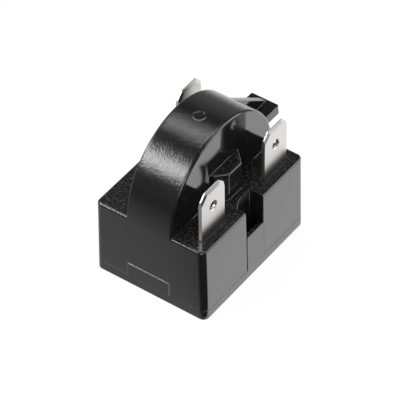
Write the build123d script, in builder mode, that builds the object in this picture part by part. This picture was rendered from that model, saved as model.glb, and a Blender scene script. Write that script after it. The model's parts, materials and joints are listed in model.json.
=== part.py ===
from build123d import *
from math import acos, atan2, cos, hypot, radians, sin, tan
import os

# Compressor start relay with a ceramic thermistor disc.
# Origin at the centre of the flat underside, +Z up, the front face looks along -Y.

os.makedirs("parts", exist_ok=True)

# Box
box_width = 22.4
deck_height = 15.2
side_draft = 1.25
corner_round = 1.1
deck_edge_round = 0.45
side_wall = 1.3
end_wall = 1.4
deck_wall = 1.6

# Dome over the disc
dome_centre_drop = 0.35
dome_width = 9.1
dome_rim_round = 0.4
dome_wall = 1.6
cheek_wall = 1.5
rib_count = 3
rib_height = 2.7
rib_width = 1.2
rib_spread = 80
gate_radius = 1.05
gate_depth = 0.2

# Boss that stands on the deck beside the dome
boss_height = 5.8
boss_reach = 2.35
boss_base_width = 8.2
boss_outer_width = 3.6
boss_centre = 0.3
boss_wall = 1.2
boss_edge_round = 0.25

# Tongue at the back of the dome
tongue_width = 5.5
tongue_reach = 4.4
tongue_rise = 3.85
tongue_thickness = 1.7
tongue_draft = 5
tongue_corner_round = 0.25
tongue_root_depth = 2.4
brace_width = 1.3
brace_centre = -0.2
brace_tip_gap = 0.25
brace_sink = 0.05

# Raised pad on the front face
pad_width = 8.6
pad_centre = -0.3
pad_height = 2.9
pad_relief = 0.15
pad_corner_round = 0.3

# Cover and its latches
cover_thickness = 1.8
seam_chamfer = 0.12
rim_thickness = 1.0
rim_height = 1.2
rim_clearance = 0.12
channel_width = 5.0
channel_centre = 0.1
channel_depth = 2.7
channel_wall = 1.1
channel_web = 0.95
channel_web_length = 1.9
channel_web_slope = 40
latch_top = 9.2
latch_thickness = 0.8
latch_front_gap = 0.3
latch_rear_gap = 0.1
ledge_top = 6.1
ledge_height = 1.3
ledge_bite = 0.35
latch_clearance = 0.1
barb_height = 1.1

# Disc
disc_radius = 10.0
disc_thickness = 3.0
disc_clearance = 0.1
disc_side_clearance = 0.15
cradle_wall = 1.0
cradle_grip = 1.45
cradle_length = 8.0

# Blades
blade_width = 6.3
blade_thickness = 0.65
blade_side_clearance = 0.2
blade_end_clearance = 0.25
blade_rise = 9.8
blade_corner_chamfer = 1.2
blade_bevel_length = 0.65
blade_bevel_depth = 0.2
blade_hole_radius = 0.85
blade_hole_drop = 4.0
blade_hole_chamfer = 0.15
blade_foot_channel_gap = 1.25
blade_foot_bottom = 6.4
slot_clearance = 0.15
shoulder_clearance = 0.1

# Bus strips
bus_thickness = 0.4
bus_bottom = 6.2
bus_top_clearance = 0.7
bus_top_margin = 0.15
bus_wall_clearance = 0.3
bus_channel_clearance = 0.5
bus_jog_run = 1.4
bus_bend_radius = 0.5
bus_end_overhang = 2.8
bus_short_end = 2.6

# Pin sockets
pin_radius = 1.6
socket_wall = 0.4
socket_slit = 0.5
flag_join = 1.6
flag_stand_off = 0.5
flag_overhang = 2.6
entry_radius = 1.8
entry_chamfer = 0.5
collar_clearance = 0.25
collar_wall = 0.8
collar_height = 1.6
collar_channel_gap = 0.1

# Socket clips
clip_wall = 0.3
clip_clearance = 0.05
clip_bottom = 2.3
clip_height = 3.2
clip_opening = 1.2

# Contact springs
spring_thickness = 0.3
spring_width = 4.6
spring_drop = 2.4
spring_base_half = 2.4
spring_touch_start = 4.7
spring_touch_end = 6.1
spring_tip_half = 7.0
spring_tip_lift = 0.6
spring_bend_radius = 0.5
spring_touch_gap = 0.03

# Rivets
rivet_radius = 1.0
rivet_head_radius = 1.65
rivet_head_height = 0.4
rivet_clearance = 0.03
rivet_stand_off = 0.15
rivet_head_chamfer = 0.15

# Margin for choosing edges by their place
place_margin = 0.01

# Dome and box, sized round the disc
dome_radius = disc_radius + disc_clearance + rib_height + dome_wall
half_length = dome_radius
dome_centre_height = deck_height - dome_centre_drop
disc_height = dome_centre_height
cradle_top = disc_height - disc_radius - disc_clearance + cradle_grip
cheek_inside = dome_width / 2 - cheek_wall
cavity_ceiling = deck_height - deck_wall
tongue_top = deck_height + tongue_rise


def side_at(height):
    # Half the box's width at a height, with the draft of its long sides
    return box_width / 2 - height * tan(radians(side_draft))


# Latch channels
channel_floor = side_at(deck_height) - channel_depth
channel_front = channel_centre - channel_width / 2
channel_rear = channel_centre + channel_width / 2
channel_inside = channel_floor - channel_wall
latch_front = channel_front + latch_front_gap
latch_rear = channel_rear - latch_rear_gap
latch_back = side_at(latch_top) - latch_thickness

# Metal parts across the box, from the blades inwards
blade_face = side_at(cavity_ceiling) - side_wall - rivet_head_height - blade_side_clearance
blade_back = blade_face - blade_thickness
bus_outer_face = blade_back
bus_inner_face = bus_outer_face - bus_thickness
flag_inner_face = bus_inner_face - socket_wall
socket_axis = flag_inner_face - pin_radius
bus_middle_face = channel_inside - bus_wall_clearance - rivet_head_height - bus_thickness
spring_face = bus_middle_face - spring_thickness
spring_touch = disc_thickness / 2 + spring_touch_gap

# Metal parts along the box
blade_foot_start = channel_rear + channel_wall + blade_foot_channel_gap
blade_foot_end = half_length - end_wall - blade_end_clearance
blade_place = (blade_foot_start + blade_foot_end) / 2
bus_middle_half = abs(channel_centre) + channel_width / 2 + channel_wall + bus_channel_clearance
bus_jog_half = bus_middle_half + bus_jog_run
bus_end = blade_place + bus_end_overhang
collar_inner = pin_radius + socket_wall + clip_clearance + clip_wall + collar_clearance
collar_outer = collar_inner + collar_wall
socket_place = channel_rear + channel_wall + collar_channel_gap + collar_outer

# Metal parts by height, from the deck down
blade_top = deck_height + blade_rise
hole_height = blade_top - blade_hole_drop
foot_top = cavity_ceiling - shoulder_clearance
bus_top = foot_top - bus_top_clearance
rivet_height = bus_top - bus_top_margin - rivet_head_radius
socket_top = rivet_height - rivet_head_radius - rivet_stand_off
spring_height = bus_top - spring_drop


def draft_outline(low, high, inset):
    # Trapezoid section across the box between two heights, inside its long sides
    Polyline(
        (-side_at(low) + inset, low),
        (side_at(low) - inset, low),
        (side_at(high) - inset, high),
        (-side_at(high) + inset, high),
        close=True,
    )


def leans_upright(edge):
    # True for an edge that runs nearer to the vertical than to the level
    run = edge.tangent_at(0.5)
    return abs(run.Z) > hypot(run.X, run.Y)


def upright_edges(part):
    return part.edges().filter_by(leans_upright)


# Dome as a solid half-round slab that runs down the front and back of the box
with BuildPart() as dome:
    with BuildSketch(Plane.YZ):
        with BuildLine():
            CenterArc((0, dome_centre_height), dome_radius, 0, 180)
            Polyline(
                (-dome_radius, dome_centre_height),
                (-dome_radius, cover_thickness),
                (dome_radius, cover_thickness),
                (dome_radius, dome_centre_height),
            )
        make_face()
    extrude(amount=dome_width / 2, both=True)
    rims = dome.edges().filter_by(lambda edge: abs(edge.tangent_at(0.5).X) < place_margin)
    fillet(rims.filter_by(lambda edge: edge.center().Z > cover_thickness + place_margin), dome_rim_round)
    with BuildSketch(Plane.XY.offset(dome_centre_height + dome_radius)):
        Circle(gate_radius)
    extrude(amount=-gate_depth, mode=Mode.SUBTRACT)


# Tongue, wider at its underside, with an upright brace along its middle
# The brace's top runs straight from near the tip to where it grazes the dome
tongue_root = dome_radius - tongue_root_depth
tongue_tip = half_length + tongue_reach
brace_tip = tongue_tip - brace_tip_gap
brace_rise = tongue_top - dome_centre_height
brace_circle = dome_radius - brace_sink
brace_angle = atan2(brace_rise, brace_tip) + acos(brace_circle / hypot(brace_rise, brace_tip))
brace_seat = dome_radius - dome_wall / 2


def dome_point(radius, angle):
    return radius * cos(angle), dome_centre_height + radius * sin(angle)


with BuildPart() as tongue:
    with BuildSketch(Plane.XY.offset(tongue_top)):
        with Locations((0, tongue_root)):
            plate = Rectangle(
                tongue_width,
                tongue_tip - tongue_root,
                align=(Align.CENTER, Align.MIN),
            )
        fillet(plate.vertices().group_by(Axis.Y)[-1], tongue_corner_round)
    extrude(amount=-tongue_thickness, taper=-tongue_draft)
    with BuildSketch(Plane.YZ.offset(brace_centre)):
        with BuildLine():
            Polyline(
                (brace_tip, tongue_top - tongue_thickness / 2),
                (brace_tip, tongue_top),
                dome_point(brace_circle, brace_angle),
                dome_point(brace_seat, brace_angle),
                (tongue_root, tongue_top - tongue_thickness / 2),
                close=True,
            )
        make_face()
    extrude(amount=brace_width / 2, both=True)


# Boss pair: a tapering block on each cheek of the dome
def boss_outline(base_half, outer_half, start, reach):
    Polyline(
        (start, boss_centre - base_half),
        (reach, boss_centre - outer_half),
        (reach, boss_centre + outer_half),
        (start, boss_centre + base_half),
        close=True,
    )


boss_face = dome_width / 2 + boss_reach
boss_slope = (boss_base_width - boss_outer_width) / 2 / boss_reach
boss_inside = boss_face - boss_wall
boss_pocket_wall = boss_wall * hypot(1, boss_slope)

with BuildPart() as boss:
    with BuildSketch(Plane.XY.offset(deck_height - deck_wall / 2)):
        with BuildLine():
            boss_outline(
                boss_base_width / 2 + boss_slope * cheek_wall / 2,
                boss_outer_width / 2,
                dome_width / 2 - cheek_wall / 2,
                boss_face,
            )
        make_face()
    extrude(amount=boss_height + deck_wall / 2)
    fillet(upright_edges(boss).group_by(Axis.X)[-1], boss_edge_round)
    fillet(boss.faces().sort_by(Axis.Z)[-1].edges(), boss_edge_round)


# Web in the front inner corner of a latch channel, with a top that falls outwards
web_front = channel_front - channel_wall / 2
web_rear = channel_front + channel_web_length
web_inside = channel_floor - channel_wall / 2
web_outside = channel_floor + channel_web
web_fall = channel_web * tan(radians(channel_web_slope))

with BuildPart() as corner_web:
    with BuildSketch(Plane.XY.offset(ledge_top)):
        with BuildLine():
            Polyline(
                (web_inside, web_front),
                (web_outside, web_front),
                (web_outside, channel_front),
                (channel_floor, web_rear),
                (web_inside, web_rear),
                close=True,
            )
        make_face()
    extrude(amount=deck_height - ledge_top)
    with BuildSketch(Plane.XZ):
        with BuildLine():
            Polyline(
                (web_inside, ledge_top),
                (web_outside, ledge_top),
                (web_outside, deck_height - web_fall),
                (channel_floor, deck_height),
                (web_inside, deck_height),
                close=True,
            )
        make_face()
    extrude(amount=half_length, both=True, mode=Mode.INTERSECT)


# Housing: the whole upper moulding
with BuildPart() as housing:
    with BuildSketch(Plane.XZ):
        with BuildLine():
            draft_outline(cover_thickness, deck_height, 0)
        make_face()
    extrude(amount=half_length, both=True)
    fillet(upright_edges(housing), corner_round)
    fillet(housing.faces().sort_by(Axis.Z)[-1].edges(), deck_edge_round)
    chamfer(housing.faces().sort_by(Axis.Z)[0].edges(), seam_chamfer)
    add(dome.part)
    add(tongue.part)
    add(boss.part)
    mirror(boss.part, about=Plane.YZ)

    # Pad low on the front face
    with BuildSketch(Plane.XZ.offset(half_length - end_wall / 2)):
        with Locations((pad_centre, cover_thickness)):
            pad_face = Rectangle(pad_width, pad_height, align=(Align.CENTER, Align.MIN))
        fillet(pad_face.vertices().group_by(Axis.Y)[-1], pad_corner_round)
    extrude(amount=end_wall / 2 + pad_relief)

    # Main cavity under the deck
    with BuildSketch(Plane.XZ):
        with BuildLine():
            draft_outline(cover_thickness, cavity_ceiling, side_wall)
        make_face()
    extrude(amount=half_length - end_wall, both=True, mode=Mode.SUBTRACT)

    # Cavity in the dome
    with BuildSketch(Plane.YZ):
        with Locations((0, dome_centre_height)):
            Circle(dome_radius - dome_wall)
        with Locations((0, cavity_ceiling)):
            Rectangle(
                2 * dome_radius,
                2 * dome_radius,
                align=(Align.CENTER, Align.MAX),
                mode=Mode.SUBTRACT,
            )
    extrude(amount=cheek_inside, both=True, mode=Mode.SUBTRACT)

    # Pocket in each boss, open to the cavity
    for side in (1, -1):
        with BuildSketch(Plane.XY.offset(cavity_ceiling)):
            with BuildLine():
                boss_outline(
                    boss_base_width / 2 - boss_pocket_wall + boss_slope * cheek_wall,
                    boss_base_width / 2 - boss_pocket_wall - boss_slope * (boss_inside - dome_width / 2),
                    side * cheek_inside,
                    side * boss_inside,
                )
            make_face()
        extrude(amount=deck_wall + boss_height - boss_wall, mode=Mode.SUBTRACT)

    # Ribs that centre the disc in the dome
    rib_inner = disc_radius + disc_clearance
    rib_outer = dome_radius - dome_wall / 2
    with BuildSketch(Plane.YZ):
        with Locations((0, disc_height)):
            with PolarLocations(
                (rib_inner + rib_outer) / 2,
                rib_count,
                start_angle=90 - rib_spread / 2,
                angular_range=rib_spread,
                endpoint=True,
            ):
                Rectangle(rib_outer - rib_inner, rib_width)
    extrude(amount=cheek_inside, both=True)

    # Walls round the two latch channels, then the channels and their ledges
    for side in (1, -1):
        with BuildSketch(Plane.XY.offset(cover_thickness)):
            with Locations((side * channel_inside, channel_centre)):
                Rectangle(
                    side_at(deck_height) - side_wall / 2 - channel_inside,
                    channel_width + 2 * channel_wall,
                    align=(Align.MIN if side > 0 else Align.MAX, Align.CENTER),
                )
        extrude(amount=cavity_ceiling - cover_thickness)
    for side in (1, -1):
        with BuildSketch(Plane.XY.offset(cover_thickness)):
            with Locations((side * channel_floor, channel_centre)):
                Rectangle(
                    box_width / 2,
                    channel_width,
                    align=(Align.MIN if side > 0 else Align.MAX, Align.CENTER),
                )
        extrude(amount=deck_height, mode=Mode.SUBTRACT)
    for side in (1, -1):
        with BuildSketch(Plane.XY.offset(ledge_top - ledge_height)):
            with Locations((side * (channel_floor - channel_wall / 2), channel_centre)):
                Rectangle(
                    latch_back - latch_clearance - channel_floor + channel_wall / 2,
                    channel_width + channel_wall,
                    align=(Align.MIN if side > 0 else Align.MAX, Align.CENTER),
                )
        extrude(amount=ledge_height)

    add(corner_web.part)
    mirror(corner_web.part, about=Plane.YZ)

    # Slots for the blades
    for side, place in ((1, -blade_place), (1, blade_place), (-1, blade_place)):
        with BuildSketch(Plane.XY.offset(cavity_ceiling)):
            with Locations((side * (blade_face - blade_thickness / 2), place)):
                Rectangle(blade_thickness + 2 * slot_clearance, blade_width + 2 * slot_clearance)
        extrude(amount=deck_wall, mode=Mode.SUBTRACT)
housing.part.label = "housing"
export_step(housing.part, "parts/housing.step")


# Bottom cover: plate, locating rim, cradle for the disc, collars and latches
with BuildPart() as bottom_cover:
    with BuildSketch(Plane.XZ):
        with BuildLine():
            draft_outline(0, cover_thickness, 0)
        make_face()
    extrude(amount=half_length, both=True)
    fillet(upright_edges(bottom_cover), corner_round)

    # Locating rim, broken where the channels stand
    rim_half_width = side_at(cover_thickness + rim_height) - side_wall - rim_clearance
    rim_half_length = half_length - end_wall - rim_clearance
    with BuildSketch(Plane.XY.offset(cover_thickness)):
        Rectangle(2 * rim_half_width, 2 * rim_half_length)
        Rectangle(
            2 * (rim_half_width - rim_thickness),
            2 * (rim_half_length - rim_thickness),
            mode=Mode.SUBTRACT,
        )
        with Locations((0, channel_centre)):
            Rectangle(
                box_width,
                channel_width + 2 * channel_wall + 2 * rim_clearance,
                mode=Mode.SUBTRACT,
            )
    extrude(amount=rim_height)

    # Cradle with a round seat and a cheek on each side of the disc
    with BuildSketch(Plane.XY.offset(cover_thickness)):
        Rectangle(disc_thickness + 2 * disc_side_clearance + 2 * cradle_wall, cradle_length)
    extrude(amount=cradle_top - cover_thickness)
    with BuildSketch(Plane.YZ):
        with Locations((0, disc_height)):
            Circle(disc_radius + disc_clearance)
    extrude(amount=disc_thickness / 2 + disc_side_clearance, both=True, mode=Mode.SUBTRACT)

    # Collars round the sockets and the entry holes for the pins
    with BuildSketch(Plane.XY.offset(cover_thickness)):
        with Locations((socket_axis, socket_place), (-socket_axis, socket_place)):
            Circle(collar_outer)
            Circle(collar_inner, mode=Mode.SUBTRACT)
    extrude(amount=collar_height)
    with BuildSketch():
        with Locations((socket_axis, socket_place), (-socket_axis, socket_place)):
            Circle(entry_radius)
    extrude(amount=cover_thickness, mode=Mode.SUBTRACT)
    entry_edges = bottom_cover.edges().filter_by(GeomType.CIRCLE).group_by(Axis.Z)[0]
    chamfer(
        entry_edges.filter_by(lambda edge: abs(edge.radius - entry_radius) < place_margin),
        entry_chamfer,
    )

    # Latch tabs, drafted with the box's sides, and their barbs
    for side in (1, -1):
        with BuildSketch(Plane.XZ.offset(-latch_front)):
            with BuildLine():
                Polyline(
                    (side * latch_back, cover_thickness / 2),
                    (side * side_at(cover_thickness / 2), cover_thickness / 2),
                    (side * side_at(latch_top), latch_top),
                    (side * latch_back, latch_top),
                    close=True,
                )
            make_face()
            with BuildLine():
                Polyline(
                    (side * latch_back, ledge_top + latch_clearance),
                    (side * (latch_back - ledge_bite - latch_clearance), ledge_top + latch_clearance),
                    (side * latch_back, ledge_top + latch_clearance + barb_height),
                    close=True,
                )
            make_face()
        extrude(amount=-(latch_rear - latch_front))
bottom_cover.part.label = "bottom_cover"
export_step(bottom_cover.part, "parts/bottom_cover.step")


# Disc of the thermistor
with BuildPart() as ptc_disc:
    with BuildSketch(Plane.YZ):
        with Locations((0, disc_height)):
            Circle(disc_radius)
    extrude(amount=disc_thickness / 2, both=True)
ptc_disc.part.label = "ptc_disc"
export_step(ptc_disc.part, "parts/ptc_disc.step")


# Blade of the rear right, with a wider foot under the deck
with BuildPart() as rear_right_blade:
    with BuildSketch(Plane.YZ.offset(blade_back)):
        with Locations((blade_place, (blade_foot_bottom + foot_top) / 2)):
            Rectangle(blade_foot_end - blade_foot_start, foot_top - blade_foot_bottom)
        with Locations((blade_place, (foot_top + blade_top) / 2)):
            blade_shape = Rectangle(blade_width, blade_top - foot_top)
        chamfer(blade_shape.vertices().group_by(Axis.Y)[-1], blade_corner_chamfer)
        with Locations((blade_place, hole_height)):
            Circle(blade_hole_radius, mode=Mode.SUBTRACT)
        with Locations((blade_place, rivet_height)):
            Circle(rivet_radius + rivet_clearance, mode=Mode.SUBTRACT)
    extrude(amount=blade_thickness)
    for face in rear_right_blade.faces().filter_by(Axis.X):
        tip = face.edges().filter_by(lambda edge: edge.center().Z > blade_top - blade_corner_chamfer)
        chamfer(tip, blade_bevel_length, blade_bevel_depth, reference=face)
    rounds = rear_right_blade.edges().filter_by(GeomType.CIRCLE)
    chamfer(
        rounds.filter_by(lambda edge: abs(edge.center().Z - hole_height) < place_margin),
        blade_hole_chamfer,
    )
rear_right_blade.part.label = "rear_right_blade"
export_step(rear_right_blade.part, "parts/rear_right_blade.step")

with BuildPart() as front_right_blade:
    mirror(rear_right_blade.part, about=Plane.XZ)
front_right_blade.part.label = "front_right_blade"
export_step(front_right_blade.part, "parts/front_right_blade.step")

with BuildPart() as rear_left_blade:
    mirror(rear_right_blade.part, about=Plane.YZ)
rear_left_blade.part.label = "rear_left_blade"
export_step(rear_left_blade.part, "parts/rear_left_blade.step")


# Bus strips: folded brass, set back in the middle to pass the latch channel
def bus_strip(side, front_points, rivets):
    # Strip along Y from its front end to the rear blade, on one side of the disc
    rear_points = [
        (side * bus_middle_face, bus_middle_half),
        (side * bus_inner_face, bus_jog_half),
        (side * bus_inner_face, bus_end),
    ]
    with BuildPart() as strip:
        with BuildSketch(Plane.XY.offset(bus_bottom)):
            with BuildLine():
                FilletPolyline(*front_points, *rear_points, radius=bus_bend_radius)
                offset(amount=bus_thickness, side=Side.RIGHT if side > 0 else Side.LEFT)
            make_face()
        extrude(amount=bus_top - bus_bottom)
        for place, height in rivets:
            with BuildSketch(Plane.YZ):
                with Locations((place, height)):
                    Circle(rivet_radius + rivet_clearance)
            extrude(amount=side * box_width / 2, mode=Mode.SUBTRACT)
    return strip


right_bus_strip = bus_strip(
    1,
    [
        (bus_inner_face, -bus_end),
        (bus_inner_face, -bus_jog_half),
        (bus_middle_face, -bus_middle_half),
    ],
    ((-blade_place, rivet_height), (0, spring_height), (blade_place, rivet_height)),
)
right_bus_strip.part.label = "right_bus_strip"
export_step(right_bus_strip.part, "parts/right_bus_strip.step")

left_bus_strip = bus_strip(
    -1,
    [(-bus_middle_face, -bus_short_end)],
    ((0, spring_height), (blade_place, rivet_height)),
)
left_bus_strip.part.label = "left_bus_strip"
export_step(left_bus_strip.part, "parts/left_bus_strip.step")


# Pin socket: rolled sleeve with a slit, and a flag riveted between strip and blade
with BuildPart() as right_pin_socket:
    with BuildSketch(Plane.XY.offset(cover_thickness)):
        with Locations((socket_axis, socket_place)):
            Circle(pin_radius + socket_wall)
            Circle(pin_radius, mode=Mode.SUBTRACT)
        with Locations((socket_axis - pin_radius - socket_wall, socket_place)):
            Rectangle(2 * socket_wall + pin_radius, socket_slit, mode=Mode.SUBTRACT)
    extrude(amount=socket_top - cover_thickness)
    with BuildSketch(Plane.YZ.offset(flag_inner_face)):
        with BuildLine():
            Polyline(
                (bus_jog_half + flag_stand_off, socket_top - flag_join),
                (blade_place + flag_overhang, socket_top - flag_join),
                (blade_place + flag_overhang, bus_top),
                (bus_jog_half + flag_stand_off, bus_top),
                close=True,
            )
        make_face()
        with Locations((blade_place, rivet_height)):
            Circle(rivet_radius + rivet_clearance, mode=Mode.SUBTRACT)
    extrude(amount=socket_wall)
right_pin_socket.part.label = "right_pin_socket"
export_step(right_pin_socket.part, "parts/right_pin_socket.step")

with BuildPart() as left_pin_socket:
    mirror(right_pin_socket.part, about=Plane.YZ)
left_pin_socket.part.label = "left_pin_socket"
export_step(left_pin_socket.part, "parts/left_pin_socket.step")


# Socket clip: an open steel ring round the sleeve
clip_inner = pin_radius + socket_wall + clip_clearance
with BuildPart() as right_socket_clip:
    with BuildSketch(Plane.XY.offset(clip_bottom)):
        with Locations((socket_axis, socket_place)):
            Circle(clip_inner + clip_wall)
            Circle(clip_inner, mode=Mode.SUBTRACT)
        with Locations((socket_axis - clip_inner, socket_place)):
            Rectangle(2 * clip_inner, clip_opening, mode=Mode.SUBTRACT)
    extrude(amount=clip_height)
right_socket_clip.part.label = "right_socket_clip"
export_step(right_socket_clip.part, "parts/right_socket_clip.step")

with BuildPart() as left_socket_clip:
    mirror(right_socket_clip.part, about=Plane.YZ)
left_socket_clip.part.label = "left_socket_clip"
export_step(left_socket_clip.part, "parts/left_socket_clip.step")


# Contact spring: a leaf bent into two arms that bear on the disc's face
with BuildPart() as right_contact_spring:
    with BuildSketch(Plane.XY.offset(spring_height - spring_width / 2)):
        with BuildLine():
            FilletPolyline(
                (spring_touch + spring_tip_lift, -spring_tip_half),
                (spring_touch, -spring_touch_end),
                (spring_touch, -spring_touch_start),
                (spring_face, -spring_base_half),
                (spring_face, spring_base_half),
                (spring_touch, spring_touch_start),
                (spring_touch, spring_touch_end),
                (spring_touch + spring_tip_lift, spring_tip_half),
                radius=spring_bend_radius,
            )
            offset(amount=spring_thickness, side=Side.RIGHT)
        make_face()
    extrude(amount=spring_width)
    with BuildSketch(Plane.YZ):
        with Locations((0, spring_height)):
            Circle(rivet_radius + rivet_clearance)
    extrude(amount=box_width / 2, mode=Mode.SUBTRACT)
right_contact_spring.part.label = "right_contact_spring"
export_step(right_contact_spring.part, "parts/right_contact_spring.step")

with BuildPart() as left_contact_spring:
    mirror(right_contact_spring.part, about=Plane.YZ)
left_contact_spring.part.label = "left_contact_spring"
export_step(left_contact_spring.part, "parts/left_contact_spring.step")


# Rivets along X: a shank with a chamfered head outside and a flat, upset head inside
def rivet(inner, outer, place, height):
    with BuildPart() as pin:
        with BuildSketch(Plane.YZ.offset(inner)):
            with Locations((place, height)):
                Circle(rivet_radius)
        extrude(amount=outer - inner)
        with BuildSketch(Plane.YZ.offset(outer)):
            with Locations((place, height)):
                Circle(rivet_head_radius)
        extrude(amount=rivet_head_height)
        with BuildSketch(Plane.YZ.offset(inner)):
            with Locations((place, height)):
                Circle(rivet_head_radius)
        extrude(amount=-rivet_head_height)
        chamfer(pin.edges().filter_by(GeomType.CIRCLE).group_by(Axis.X)[-1], rivet_head_chamfer)
    return pin


front_right_rivet = rivet(bus_inner_face, blade_face, -blade_place, rivet_height)
front_right_rivet.part.label = "front_right_rivet"
export_step(front_right_rivet.part, "parts/front_right_rivet.step")

rear_right_rivet = rivet(flag_inner_face, blade_face, blade_place, rivet_height)
rear_right_rivet.part.label = "rear_right_rivet"
export_step(rear_right_rivet.part, "parts/rear_right_rivet.step")

with BuildPart() as rear_left_rivet:
    mirror(rear_right_rivet.part, about=Plane.YZ)
rear_left_rivet.part.label = "rear_left_rivet"
export_step(rear_left_rivet.part, "parts/rear_left_rivet.step")

right_spring_rivet = rivet(spring_face, bus_middle_face + bus_thickness, 0, spring_height)
right_spring_rivet.part.label = "right_spring_rivet"
export_step(right_spring_rivet.part, "parts/right_spring_rivet.step")

with BuildPart() as left_spring_rivet:
    mirror(right_spring_rivet.part, about=Plane.YZ)
left_spring_rivet.part.label = "left_spring_rivet"
export_step(left_spring_rivet.part, "parts/left_spring_rivet.step")
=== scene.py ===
import json
from math import cos, pi, radians, sin

import bpy
from mathutils import Matrix, Vector


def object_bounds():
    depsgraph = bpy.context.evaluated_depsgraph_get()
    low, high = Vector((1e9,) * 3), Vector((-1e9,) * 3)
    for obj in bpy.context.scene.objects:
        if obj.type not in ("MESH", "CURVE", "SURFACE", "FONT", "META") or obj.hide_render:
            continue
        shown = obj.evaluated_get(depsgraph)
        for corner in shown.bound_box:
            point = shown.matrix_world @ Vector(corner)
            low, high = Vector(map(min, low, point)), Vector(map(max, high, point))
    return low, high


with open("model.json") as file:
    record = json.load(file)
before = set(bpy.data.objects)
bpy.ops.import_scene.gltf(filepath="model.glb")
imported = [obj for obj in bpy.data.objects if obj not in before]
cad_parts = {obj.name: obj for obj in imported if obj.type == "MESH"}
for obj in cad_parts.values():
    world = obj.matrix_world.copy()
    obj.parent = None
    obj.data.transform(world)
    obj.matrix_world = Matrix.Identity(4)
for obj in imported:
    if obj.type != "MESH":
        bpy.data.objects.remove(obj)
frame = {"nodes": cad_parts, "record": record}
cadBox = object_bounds()
nodes = frame["nodes"]
mm = 0.001
print("frame loaded,", len(nodes), "nodes")


def hexColour(code):  # sRGB hex to the linear values that shaders take
    channels = [int(code[i:i + 2], 16) / 255 for i in (0, 2, 4)]
    return (*[c / 12.92 if c <= 0.04045 else ((c + 0.055) / 1.055) ** 2.4 for c in channels], 1)


# one node with its settings, the values of its sockets and the outputs that feed them
def addNode(tree, kind, settings=None, values=None, links=None):
    node = tree.nodes.new(kind)
    for name, value in (settings or {}).items():
        setattr(node, name, value)
    for socket, value in (values or {}).items():
        node.inputs[socket].default_value = value
    for socket, source in (links or {}).items():
        tree.links.new(source, node.inputs[socket])
    return node


def newMaterial(name):  # an empty node material with only its output
    material = bpy.data.materials.new(name)
    material.use_nodes = True
    material.node_tree.nodes.clear()
    return material, material.node_tree


def finishMaterial(tree, shader):
    addNode(tree, "ShaderNodeOutputMaterial", links={"Surface": shader.outputs[0]})


# the camera, at the photograph's angle
cameraView = {
    "azimuth": 36.1775,  # degrees round from the front face
    "elevation": 44.0855,
    "roll": -0.6829,
    "place": (195.144, -266.976, 330.510),  # mm
    "lens": 248.79,  # mm
    "sensor": 36,  # mm
    "clip": (0.01, 20),  # m, nearest and farthest that it sees
}

turn, lift, roll = [radians(cameraView[key]) for key in ("azimuth", "elevation", "roll")]
levelRight = Vector((cos(turn), sin(turn), 0))
levelUp = Vector((-sin(turn) * sin(lift), cos(turn) * sin(lift), cos(lift)))
back = Vector((sin(turn) * cos(lift), -cos(turn) * cos(lift), sin(lift)))
right = levelRight * cos(roll) + levelUp * sin(roll)
up = levelUp * cos(roll) - levelRight * sin(roll)

bpy.ops.object.select_all(action="DESELECT")
bpy.ops.object.camera_add()
camera = bpy.context.object
camera.name = "photoCamera"
camera.data.lens = cameraView["lens"]
camera.data.sensor_width = cameraView["sensor"]
camera.data.dof.use_dof = False
camera.data.clip_start, camera.data.clip_end = cameraView["clip"]
place = Matrix((right, up, back)).transposed().to_4x4()
place.translation = Vector(cameraView["place"]) * mm
camera.matrix_world = place
bpy.context.scene.camera = camera
print("camera set")


# Black PBT, filled with glass and injection moulded: the sides, from polished mould faces, give
# sharp, weak reflections, and the dome's curve, the front and the back, from blasted ones, a broad
# satin sheen. Pale specks in the level faces are partly ends of fibres and partly painted glints,
# a pale line round the pad's top and right edges low on the front is a painted highlight, and half
# a pale ring on top of the dome is a painted highlight on the near edge of the gate.
mouldedPbt = {
    "colour": "111112",
    "ior": 1.65,
    "polished": 0.08,  # roughness of the sides
    "satin": 0.17,  # roughness of the blasted faces
    "level": 0.2,  # roughness of the level faces
    "levelFrom": (0.95, 0.99),  # how squarely a face looks up where level starts and is full
    "domeRadius": 14.4,  # mm
    "domeCentre": 14.85,  # mm above the underside
    "domeSkin": (0.3, 0.1),  # mm inside the dome's curve where blasting starts and is full
    "domeSides": (0.8, 0.3),  # how far a face looks sideways where blasting ends and is full
    "grain": 0.27,  # mm, drawn coarser than the real blasting so that it shows
    "grainDepth": 0.036,  # mm
    "waviness": 4.0,  # mm, slow sink marks of thick moulding
    "wavinessDepth": 0.03,  # mm
    "edgeRadius": 0.22,  # mm, the small radius that a mould leaves on a sharp edge
    "edgeSamples": 8,
    # pale specks, partly fibre ends and partly painted glints on the level faces
    "fibreAndGlint": "484849",
    "speck": 0.27,  # mm, the fibre ends and painted glints, drawn as coarse as they need to show
    "speckFrom": (0.52, 0.72),  # height of the noise where a speck starts and is full
    # painted highlight along the pad's top and right edges
    "padPaintedHighlight": "5a5a5c",
    "pad": {"middle": -0.3, "halfWidth": 4.3, "top": 4.7, "foot": 1.8, "front": -14.2},  # mm
    "padLine": 0.18,  # mm to each side
    "padLineFrom": (-0.3, 0.5),  # mm past the pad's left edge where the line starts and is full
    "soft": 0.1,  # mm over which the line fades at the face and at its foot
    # painted highlight on the near half of the gate's edge
    "gatePaintedHighlight": "a8a8aa",
    "gateRadius": 1.05,  # mm
    "gateLine": 0.14,  # mm to each side
    "gateLitSide": (0.5, -0.87, 0),  # the way in which the half with the painted highlight lies
    "gateLitSideFull": 0.8,  # share of the radius at which the painted highlight is full
}


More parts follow.
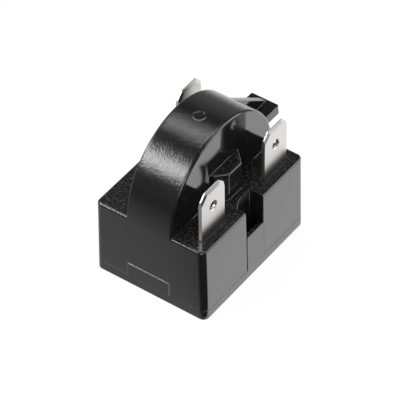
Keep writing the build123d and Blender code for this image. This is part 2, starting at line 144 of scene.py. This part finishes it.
def makePbt(name, facts):
    material, tree = newMaterial(name)
    where = addNode(tree, "ShaderNodeTexCoord")
    axes = addNode(tree, "ShaderNodeSeparateXYZ", links={"Vector": where.outputs["Object"]})
    x, y, z = [axes.outputs[letter] for letter in "XYZ"]
    facing = addNode(tree, "ShaderNodeSeparateXYZ", links={"Vector": where.outputs["Normal"]})

    # what lies on the dome's curve or farther out is blasted where it doesn't look sideways
    skinStart, skinFull = [(facts["domeRadius"] - depth) * mm for depth in facts["domeSkin"]]
    rise = addNode(tree, "ShaderNodeMath", {"operation": "SUBTRACT"}, {1: facts["domeCentre"] * mm}, {0: z})
    flat = addNode(tree, "ShaderNodeCombineXYZ", links={"Y": y, "Z": rise.outputs[0]})
    reach = addNode(tree, "ShaderNodeVectorMath", {"operation": "LENGTH"}, links={0: flat.outputs[0]})
    onDome = addNode(
        tree,
        "ShaderNodeMapRange",
        values={1: skinStart, 2: skinFull},
        links={0: reach.outputs["Value"]},
    )
    sideways = addNode(tree, "ShaderNodeMath", {"operation": "ABSOLUTE"}, links={0: facing.outputs["X"]})
    sidesEnd, sidesFull = facts["domeSides"]
    notSide = addNode(
        tree,
        "ShaderNodeMapRange",
        values={1: sidesEnd, 2: sidesFull},
        links={0: sideways.outputs[0]},
    )
    blasted = addNode(
        tree,
        "ShaderNodeMath",
        {"operation": "MULTIPLY"},
        links={0: onDome.outputs[0], 1: notSide.outputs[0]},
    )

    # the level faces
    levelStart, levelFull = facts["levelFrom"]
    upward = addNode(
        tree,
        "ShaderNodeMapRange",
        values={1: levelStart, 2: levelFull},
        links={0: facing.outputs["Z"]},
    )
    notDome = addNode(tree, "ShaderNodeMapRange", values={3: 1, 4: 0}, links={0: onDome.outputs[0]})
    level = addNode(
        tree,
        "ShaderNodeMath",
        {"operation": "MULTIPLY"},
        links={0: upward.outputs[0], 1: notDome.outputs[0]},
    )

    gloss = addNode(
        tree,
        "ShaderNodeMapRange",
        values={3: facts["polished"], 4: facts["satin"]},
        links={0: blasted.outputs[0]},
    )
    roughness = addNode(
        tree,
        "ShaderNodeMix",
        {"data_type": "FLOAT"},
        {3: facts["level"]},
        {0: level.outputs[0], 2: gloss.outputs[0]},
    )

    # relief: rounded edges, slow waves, and grain where blasted
    noises = {}
    for kind, detail in (("grain", 2), ("speck", 2), ("waviness", 0)):
        noises[kind] = addNode(
            tree,
            "ShaderNodeTexNoise",
            values={"Scale": 1 / (facts[kind] * mm), "Detail": detail},
            links={"Vector": where.outputs["Object"]},
        )
    rounded = addNode(
        tree,
        "ShaderNodeBevel",
        {"samples": facts["edgeSamples"]},
        {"Radius": facts["edgeRadius"] * mm},
    )
    slow = addNode(
        tree,
        "ShaderNodeBump",
        values={"Strength": 1, "Distance": facts["wavinessDepth"] * mm},
        links={"Height": noises["waviness"].outputs[0], "Normal": rounded.outputs[0]},
    )
    fine = addNode(
        tree,
        "ShaderNodeBump",
        values={"Distance": facts["grainDepth"] * mm},
        links={
            "Strength": blasted.outputs[0],
            "Height": noises["grain"].outputs[0],
            "Normal": slow.outputs[0],
        },
    )

    # ends of fibres and painted glints: pale specks that lift the level faces
    speckStart, speckFull = facts["speckFrom"]
    ends = addNode(
        tree,
        "ShaderNodeMapRange",
        values={1: speckStart, 2: speckFull},
        links={0: noises["speck"].outputs[0]},
    )
    fibreAndGlintShare = addNode(
        tree,
        "ShaderNodeMath",
        {"operation": "MULTIPLY"},
        links={0: ends.outputs[0], 1: level.outputs[0]},
    )

    # a painted highlight along the pad's top and right edges, faded out at its shaded left edge
    pad = {key: side * mm for key, side in facts["pad"].items()}
    soft = facts["soft"] * mm
    lineStart, lineFull = [side * mm - pad["halfWidth"] for side in facts["padLineFrom"]]
    outX = addNode(tree, "ShaderNodeMath", {"operation": "SUBTRACT"}, {1: pad["middle"]}, {0: x})
    spanX = addNode(tree, "ShaderNodeMath", {"operation": "ABSOLUTE"}, links={0: outX.outputs[0]})
    pastX = addNode(
        tree,
        "ShaderNodeMath",
        {"operation": "SUBTRACT"},
        {1: pad["halfWidth"]},
        {0: spanX.outputs[0]},
    )
    pastZ = addNode(tree, "ShaderNodeMath", {"operation": "SUBTRACT"}, {1: pad["top"]}, {0: z})
    past = addNode(
        tree,
        "ShaderNodeMath",
        {"operation": "MAXIMUM"},
        links={0: pastX.outputs[0], 1: pastZ.outputs[0]},
    )
    offLine = addNode(tree, "ShaderNodeMath", {"operation": "ABSOLUTE"}, links={0: past.outputs[0]})
    padHighlightShare = addNode(
        tree,
        "ShaderNodeMapRange",
        values={1: facts["padLine"] * mm, 2: 0},
        links={0: offLine.outputs[0]},
    )
    limits = (
        (y, pad["front"], pad["front"] - soft),
        (outX.outputs[0], lineStart, lineFull),
        (z, pad["foot"], pad["foot"] + soft),
    )
    for measure, start, full in limits:
        limit = addNode(tree, "ShaderNodeMapRange", values={1: start, 2: full}, links={0: measure})
        padHighlightShare = addNode(
            tree,
            "ShaderNodeMath",
            {"operation": "MULTIPLY"},
            links={0: padHighlightShare.outputs[0], 1: limit.outputs[0]},
        )

    # a painted highlight on the near half of the gate's ring
    plan = addNode(tree, "ShaderNodeCombineXYZ", links={"X": x, "Y": y})
    fromGate = addNode(tree, "ShaderNodeVectorMath", {"operation": "LENGTH"}, links={0: plan.outputs[0]})
    pastGate = addNode(
        tree,
        "ShaderNodeMath",
        {"operation": "SUBTRACT"},
        {1: facts["gateRadius"] * mm},
        {0: fromGate.outputs["Value"]},
    )
    offGate = addNode(tree, "ShaderNodeMath", {"operation": "ABSOLUTE"}, links={0: pastGate.outputs[0]})
    ring = addNode(
        tree,
        "ShaderNodeMapRange",
        values={1: facts["gateLine"] * mm, 2: 0},
        links={0: offGate.outputs[0]},
    )
    tearing = addNode(
        tree,
        "ShaderNodeVectorMath",
        {"operation": "DOT_PRODUCT"},
        {1: facts["gateLitSide"]},
        {0: plan.outputs[0]},
    )
    gateLitHalf = addNode(
        tree,
        "ShaderNodeMapRange",
        values={1: 0, 2: facts["gateLitSideFull"] * facts["gateRadius"] * mm},
        links={0: tearing.outputs["Value"]},
    )
    gateHighlightShare = addNode(
        tree,
        "ShaderNodeMath",
        {"operation": "MULTIPLY"},
        links={0: ring.outputs[0], 1: gateLitHalf.outputs[0]},
    )

    # the plain colour, with the fibre specks and painted glints, the pad's painted highlight and the gate's
    # painted highlight laid over it in turn
    colour = addNode(
        tree,
        "ShaderNodeMix",
        {"data_type": "RGBA"},
        {6: hexColour(facts["colour"]), 7: hexColour(facts["fibreAndGlint"])},
        {0: fibreAndGlintShare.outputs[0]},
    )
    for mark, share in (("padPaintedHighlight", padHighlightShare), ("gatePaintedHighlight", gateHighlightShare)):
        colour = addNode(
            tree,
            "ShaderNodeMix",
            {"data_type": "RGBA"},
            {7: hexColour(facts[mark])},
            {0: share.outputs[0], 6: colour.outputs[2]},
        )
    shader = addNode(
        tree,
        "ShaderNodeBsdfPrincipled",
        values={"IOR": facts["ior"]},
        links={
            "Base Color": colour.outputs[2],
            "Roughness": roughness.outputs[0],
            "Normal": fine.outputs[0],
        },
    )
    finishMaterial(tree, shader)
    return material


# Brass sheet, tinned and then stamped: the faces are a soft silver with rolling streaks,
# and the sheared edges a duller, slightly warm grey where brass shows through.
stampedTinnedBrass = {
    "tin": "b5b3b2",
    "cutEdge": "d2cdca",
    "faceFrom": (0.5, 0.85),  # how far a surface looks sideways where the face starts and is full
    "roughness": 0.28,
    "edgeRoughness": 0.4,
    "streak": 0.12,  # mm across the rolling direction
    "streakLength": 6.0,  # mm
    "streakDepth": 0.0008,  # mm
}


def makeTinnedBrass(name, facts):
    material, tree = newMaterial(name)
    where = addNode(tree, "ShaderNodeTexCoord")
    facing = addNode(tree, "ShaderNodeSeparateXYZ", links={"Vector": where.outputs["Normal"]})
    sideways = addNode(tree, "ShaderNodeMath", {"operation": "ABSOLUTE"}, links={0: facing.outputs["X"]})
    faceStart, faceFull = facts["faceFrom"]
    face = addNode(
        tree,
        "ShaderNodeMapRange",
        values={1: faceStart, 2: faceFull},
        links={0: sideways.outputs[0]},
    )
    colour = addNode(
        tree,
        "ShaderNodeMix",
        {"data_type": "RGBA"},
        {6: hexColour(facts["cutEdge"]), 7: hexColour(facts["tin"])},
        {0: face.outputs[0]},
    )
    roughness = addNode(
        tree,
        "ShaderNodeMapRange",
        values={3: facts["edgeRoughness"], 4: facts["roughness"]},
        links={0: face.outputs[0]},
    )
    across, along = 1 / (facts["streak"] * mm), 1 / (facts["streakLength"] * mm)
    stretch = addNode(
        tree,
        "ShaderNodeMapping",
        values={"Scale": (across, across, along)},
        links={"Vector": where.outputs["Object"]},
    )
    streaks = addNode(
        tree,
        "ShaderNodeTexNoise",
        values={"Scale": 1, "Detail": 2},
        links={"Vector": stretch.outputs[0]},
    )
    relief = addNode(
        tree,
        "ShaderNodeBump",
        values={"Strength": 1, "Distance": facts["streakDepth"] * mm},
        links={"Height": streaks.outputs[0]},
    )
    shader = addNode(
        tree,
        "ShaderNodeBsdfPrincipled",
        values={"Metallic": 1},
        links={
            "Base Color": colour.outputs[2],
            "Roughness": roughness.outputs[0],
            "Normal": relief.outputs[0],
        },
    )
    finishMaterial(tree, shader)
    return material


# Plain metals and the ceramic of the inner pieces: a colour, the roughness between which fine
# grit moves, and the grit's size in mm.
innerFinishes = {
    # rolled sheet, a satin yellow
    "rolledBrass": {"colour": "c9a356", "metallic": 1, "roughness": (0.24, 0.36), "grit": 0.3},
    # turned from bar, brighter from the tool
    "turnedBrass": {"colour": "c4a05c", "metallic": 1, "roughness": (0.16, 0.28), "grit": 0.2},
    # rolled and hardened strip, a cool grey
    "rolledSpringSteel": {"colour": "b4b6b8", "metallic": 1, "roughness": (0.19, 0.31), "grit": 0.2},
    # fired silver paste on both faces, matt and pale
    "silveredCeramic": {"colour": "b9b8b4", "metallic": 0, "roughness": (0.44, 0.56), "grit": 0.1},
}


def makeInner(name, facts):
    material, tree = newMaterial(name)
    where = addNode(tree, "ShaderNodeTexCoord")
    grit = addNode(
        tree,
        "ShaderNodeTexNoise",
        values={"Scale": 1 / (facts["grit"] * mm), "Detail": 3},
        links={"Vector": where.outputs["Object"]},
    )
    smoothest, roughest = facts["roughness"]
    roughness = addNode(
        tree,
        "ShaderNodeMapRange",
        values={3: smoothest, 4: roughest},
        links={0: grit.outputs[0]},
    )
    shader = addNode(
        tree,
        "ShaderNodeBsdfPrincipled",
        values={"Base Color": hexColour(facts["colour"]), "Metallic": facts["metallic"]},
        links={"Roughness": roughness.outputs[0]},
    )
    finishMaterial(tree, shader)
    return material


finishes = {
    "housing_plastic": makePbt("mouldedBlackPbt", mouldedPbt),
    "cover_plastic": makePbt("mouldedBlackPbtCover", mouldedPbt),
    "tinned_blade": makeTinnedBrass("stampedTinnedBrass", stampedTinnedBrass),
    "strip_brass": makeInner("rolledBrass", innerFinishes["rolledBrass"]),
    "rivet_brass": makeInner("turnedBrass", innerFinishes["turnedBrass"]),
    "spring_steel": makeInner("rolledSpringSteel", innerFinishes["rolledSpringSteel"]),
    "thermistor_ceramic": makeInner("silveredCeramic", innerFinishes["silveredCeramic"]),
}
for part in frame["record"]["subparts"]:
    for slot in nodes[part["node"]].material_slots:
        slot.material = finishes[part["material_slot"]]
print("materials set")


# the floor, the room and the lamps
studio = {
    "floorSize": 6000,  # mm
    "floorGap": 0.02,  # mm below the object
    "floorShade": 0.9,  # share of light that the lit floor throws back
    "plainWhite": 0.95,  # share of the floor that the camera sees as plain white, the rest is lit
    "bounce": 0.65,  # level of the room's soft light
    "darkRoom": 0.04,  # level of the room in reflections
    "frontRoom": 0.15,  # the same towards the front
    "frontTurn": (-0.1, -0.5),  # where the front starts and is full, as a sine
    "backdrop": 0.32,  # level of the paper behind in reflections
    "backdropTop": (0.62, 0.4),  # height where the paper starts and is full, as a sine
    "backdropTurn": (-0.1, 0.4),  # the same towards the back
    "sheetCorner": (11.2, -14.4),  # mm, the box's corner, past which the bright sheet ends
    "sheetNear": 1.55,  # level of the sheet in reflections, close to the object
    "sheetFar": 0.4,  # and far away
    "sheetFade": (40, 260),  # mm, between which it fades
    # degrees round the corner from +X, and the share of the sheet's light from there
    "sheetRound": (
        (-180, 0.36),
        (-150, 0.28),
        (-127, 0.18),
        (-112, 0.06),
        (-104, 0.02),
        (36, 0.02),
        (50, 1),
        (90, 1),
        (116, 0.75),
        (180, 0.36),
    ),
}
plainColour = (1, 1, 1, 1)

# in reflections the floor is a bright sheet of paper, full to one side of the box's corner
floorMaterial, tree = newMaterial("paleFloor")
rays = addNode(tree, "ShaderNodeLightPath")
where = addNode(tree, "ShaderNodeTexCoord")
axes = addNode(tree, "ShaderNodeSeparateXYZ", links={"Vector": where.outputs["Object"]})
cornerX, cornerY = [side * mm for side in studio["sheetCorner"]]
besideX = addNode(tree, "ShaderNodeMath", {"operation": "SUBTRACT"}, {1: cornerX}, {0: axes.outputs["X"]})
besideY = addNode(tree, "ShaderNodeMath", {"operation": "SUBTRACT"}, {1: cornerY}, {0: axes.outputs["Y"]})
angle = addNode(
    tree,
    "ShaderNodeMath",
    {"operation": "ARCTAN2"},
    links={0: besideY.outputs[0], 1: besideX.outputs[0]},
)
turnShare = addNode(tree, "ShaderNodeMapRange", values={1: -pi, 2: pi}, links={0: angle.outputs[0]})
around = addNode(tree, "ShaderNodeValToRGB", links={0: turnShare.outputs[0]})
ramp = around.color_ramp
for degrees, lightShare in studio["sheetRound"]:
    spot = (degrees + 180) / 360
    if 0 < spot < 1:
        stop = ramp.elements.new(spot)
    else:  # a new ramp has its two end stops already
        stop = ramp.elements[0 if spot == 0 else -1]
    stop.color = (lightShare, lightShare, lightShare, 1)
distance = addNode(tree, "ShaderNodeVectorMath", {"operation": "LENGTH"}, links={0: where.outputs["Object"]})
fadeStart, fadeEnd = [side * mm for side in studio["sheetFade"]]
fade = addNode(
    tree,
    "ShaderNodeMapRange",
    {"interpolation_type": "SMOOTHSTEP"},
    {1: fadeStart, 2: fadeEnd, 3: studio["sheetNear"], 4: studio["sheetFar"]},
    {0: distance.outputs["Value"]},
)
sheet = addNode(
    tree,
    "ShaderNodeMath",
    {"operation": "MULTIPLY"},
    links={0: around.outputs[0], 1: fade.outputs[0]},
)
glossy = addNode(
    tree,
    "ShaderNodeEmission",
    values={"Color": plainColour},
    links={"Strength": sheet.outputs[0]},
)

# seen straight, it is white, with a little of the lit floor and its shadow
straight = addNode(
    tree,
    "ShaderNodeMath",
    {"operation": "MAXIMUM"},
    links={0: rays.outputs["Is Camera Ray"], 1: rays.outputs["Is Transmission Ray"]},
)
whiteShare = addNode(
    tree,
    "ShaderNodeMath",
    {"operation": "MULTIPLY"},
    {1: studio["plainWhite"]},
    {0: straight.outputs[0]},
)
lit = addNode(tree, "ShaderNodeBsdfDiffuse", values={"Color": (*[studio["floorShade"]] * 3, 1)})
white = addNode(tree, "ShaderNodeEmission", values={"Color": plainColour, "Strength": 1})
floorMix = addNode(
    tree,
    "ShaderNodeMixShader",
    links={0: whiteShare.outputs[0], 1: lit.outputs[0], 2: white.outputs[0]},
)
floorAll = addNode(
    tree,
    "ShaderNodeMixShader",
    links={0: rays.outputs["Is Glossy Ray"], 1: floorMix.outputs[0], 2: glossy.outputs[0]},
)
finishMaterial(tree, floorAll)

bpy.ops.object.select_all(action="DESELECT")
bpy.ops.mesh.primitive_plane_add(
    size=studio["floorSize"] * mm,
    location=(0, 0, cadBox[0].z - studio["floorGap"] * mm),
)
bpy.ops.object.transform_apply(location=True, rotation=True, scale=True)
floor = bpy.context.object
floor.name = "floor"
floor.data.materials.append(floorMaterial)

# the room: white where seen straight, soft light on the object, and nearly dark in reflections
world = bpy.data.worlds.new("studioRoom")
bpy.context.scene.world = world
world.use_nodes = True
tree = world.node_tree
tree.nodes.clear()
rays = addNode(tree, "ShaderNodeLightPath")
where = addNode(tree, "ShaderNodeTexCoord")
axes = addNode(tree, "ShaderNodeSeparateXYZ", links={"Vector": where.outputs["Generated"]})
paperStart, paperFull = studio["backdropTop"]
low = addNode(
    tree,
    "ShaderNodeMapRange",
    values={1: paperStart, 2: paperFull, 4: studio["backdrop"]},
    links={0: axes.outputs["Z"]},
)
behindStart, behindFull = studio["backdropTurn"]
behind = addNode(
    tree,
    "ShaderNodeMapRange",
    values={1: behindStart, 2: behindFull},
    links={0: axes.outputs["Y"]},
)
backdrop = addNode(
    tree,
    "ShaderNodeMath",
    {"operation": "MULTIPLY"},
    links={0: low.outputs[0], 1: behind.outputs[0]},
)
frontStart, frontFull = studio["frontTurn"]
front = addNode(
    tree,
    "ShaderNodeMapRange",
    values={1: frontStart, 2: frontFull, 3: studio["darkRoom"], 4: studio["frontRoom"]},
    links={0: axes.outputs["Y"]},
)
room = addNode(
    tree,
    "ShaderNodeMath",
    {"operation": "MAXIMUM"},
    links={0: backdrop.outputs[0], 1: front.outputs[0]},
)
mirrored = addNode(
    tree,
    "ShaderNodeMix",
    {"data_type": "FLOAT"},
    {2: studio["bounce"]},
    {0: rays.outputs["Is Glossy Ray"], 3: room.outputs[0]},
)
straight = addNode(
    tree,
    "ShaderNodeMath",
    {"operation": "MAXIMUM"},
    links={0: rays.outputs["Is Camera Ray"], 1: rays.outputs["Is Transmission Ray"]},
)
strength = addNode(
    tree,
    "ShaderNodeMath",
    {"operation": "MAXIMUM"},
    links={0: straight.outputs[0], 1: mirrored.outputs[0]},
)
light = addNode(
    tree,
    "ShaderNodeBackground",
    values={"Color": plainColour},
    links={"Strength": strength.outputs[0]},
)
addNode(tree, "ShaderNodeOutputWorld", links={"Surface": light.outputs[0]})

softboxes = {
    # direction from the object, distance in mm, width and height in mm, and level, where 1 is white
    "frontSoftbox": {"from": (-0.65, -0.46, 0.72), "distance": 400, "size": (300, 120), "level": 11},
    "backSoftbox": {"from": (-0.33, 0.27, 0.87), "distance": 400, "size": (240, 68), "level": 4},
    "topSoftbox": {"from": (0.04, 0.34, 0.93), "distance": 400, "size": (170, 80), "level": 5},
    "rightSoftbox": {"from": (0.78, 0.58, 0.28), "distance": 450, "size": (500, 220), "level": 3.6},
    "stripSoftbox": {"from": (0.58, -0.60, 0.48), "distance": 500, "size": (300, 220), "level": 4.5},
}
for name, box in softboxes.items():
    data = bpy.data.lights.new(name, "AREA")
    data.shape = "RECTANGLE"
    data.size, data.size_y = [side * mm for side in box["size"]]
    data.energy = box["level"] * pi * data.size * data.size_y
    lamp = bpy.data.objects.new(name, data)
    direction = Vector(box["from"]).normalized()
    lamp.rotation_mode = "QUATERNION"
    lamp.rotation_quaternion = direction.to_track_quat("Z", "Y")
    lamp.location = direction * box["distance"] * mm
    bpy.context.scene.collection.objects.link(lamp)

bpy.context.scene.view_settings.view_transform = "Standard"
print("studio set")
